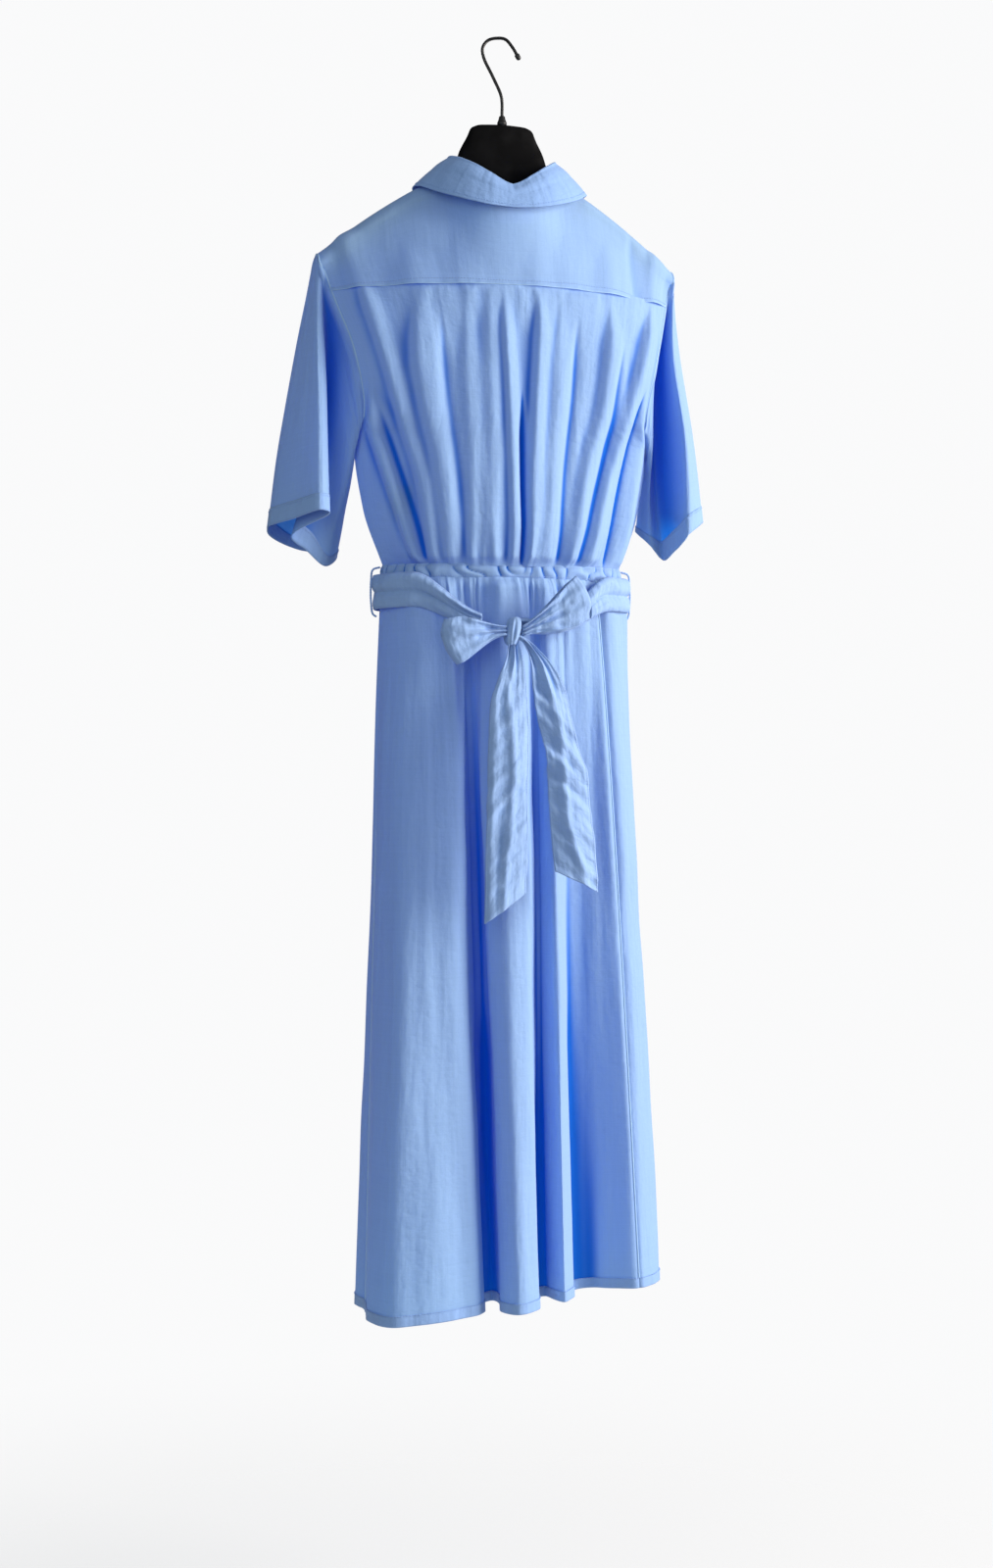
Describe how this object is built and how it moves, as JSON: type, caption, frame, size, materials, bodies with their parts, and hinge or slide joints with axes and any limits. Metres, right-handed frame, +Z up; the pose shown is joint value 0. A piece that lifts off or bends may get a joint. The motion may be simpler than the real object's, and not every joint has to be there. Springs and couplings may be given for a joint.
{
  "type": "hanging gown",
  "caption": "Short-sleeved shirt-collared gown with elastic waist and bow-tied belt, on a hanger with a swivel hook.",
  "frame": {"origin": "where the underside of the hook's top rests on its rail", "axes": "+Z up, +Y out of the gown's back, +X to the wearer's left"},
  "size_m": [0.5108, 0.2266, 1.4006],
  "materials": {
    "cotton": "fine plain-weave cotton, matt",
    "hanger_plastic": "matt black",
    "hook_metal": "satin black lacquer on steel wire",
    "elastic": "knitted elastic",
    "button": "pearly resin",
    "label": "woven tape, blank"
  },
  "bodies": {
    "hook": {"hook_wire": "hook_metal", "hook_tip_cap": "hanger_plastic"},
    "sleeve_left": {"sleeve_left": "cotton", "sleeve_hem_left": "cotton"},
    "sleeve_right": {"sleeve_right": "cotton", "sleeve_hem_right": "cotton"},
    "belt_tail_left": {"belt_tail_left": "cotton"},
    "belt_tail_right": {"belt_tail_right": "cotton"},
    "gown": {"swivel_bush": "hanger_plastic", "hanger_body": "hanger_plastic", "back_yoke": "cotton", "back_bodice": "cotton", "front_bodice_left": "cotton", "front_bodice_right": "cotton", "buttonhole_band": "cotton", "button_band": "cotton", "collar_stand": "cotton", "collar_leaf": "cotton", "waist_casing": "cotton", "waist_elastic": "elastic", "skirt_back": "cotton", "skirt_hem_back": "cotton", "skirt_front_right": "cotton", "skirt_hem_front_right": "cotton", "skirt_front_left": "cotton", "skirt_hem_front_left": "cotton", "skirt_buttonhole_band": "cotton", "skirt_button_band": "cotton", "belt_band": "cotton", "belt_knot": "cotton", "bow_loop_left": "cotton", "bow_loop_right": "cotton", "belt_loop_left": "cotton", "belt_loop_right": "cotton", "neck_label": "label", "care_label": "label", "bodice_button_1": "button", "bodice_button_2": "button", "bodice_button_3": "button", "bodice_button_4": "button", "bodice_button_5": "button", "skirt_button_1": "button", "skirt_button_2": "button", "skirt_button_3": "button", "skirt_button_4": "button", "skirt_button_5": "button", "skirt_button_6": "button"}
  },
  "joints": [
    {"name": "hook_swivel", "type": "hinge", "parent": "hook", "child": "gown", "pos_m": [0, 0, -0.094], "axis": [0, 0, 1], "continuous": true},
    {"name": "sleeve_left_swing", "type": "hinge", "parent": "gown", "child": "sleeve_left", "pos_m": [0.203, -0.024, -0.242], "axis": [0, -1, 0], "range_deg": [0, 24]},
    {"name": "sleeve_right_swing", "type": "hinge", "parent": "gown", "child": "sleeve_right", "pos_m": [-0.203, -0.024, -0.242], "axis": [0, 1, 0], "range_deg": [0, 24]},
    {"name": "belt_tail_left_lift", "type": "hinge", "parent": "gown", "child": "belt_tail_left", "pos_m": [0.018, 0.092, -0.674], "axis": [1, 0, 0], "range_deg": [0, 40]},
    {"name": "belt_tail_right_lift", "type": "hinge", "parent": "gown", "child": "belt_tail_right", "pos_m": [-0.001, 0.092, -0.674], "axis": [1, 0, 0], "range_deg": [0, 40]}
  ]
}
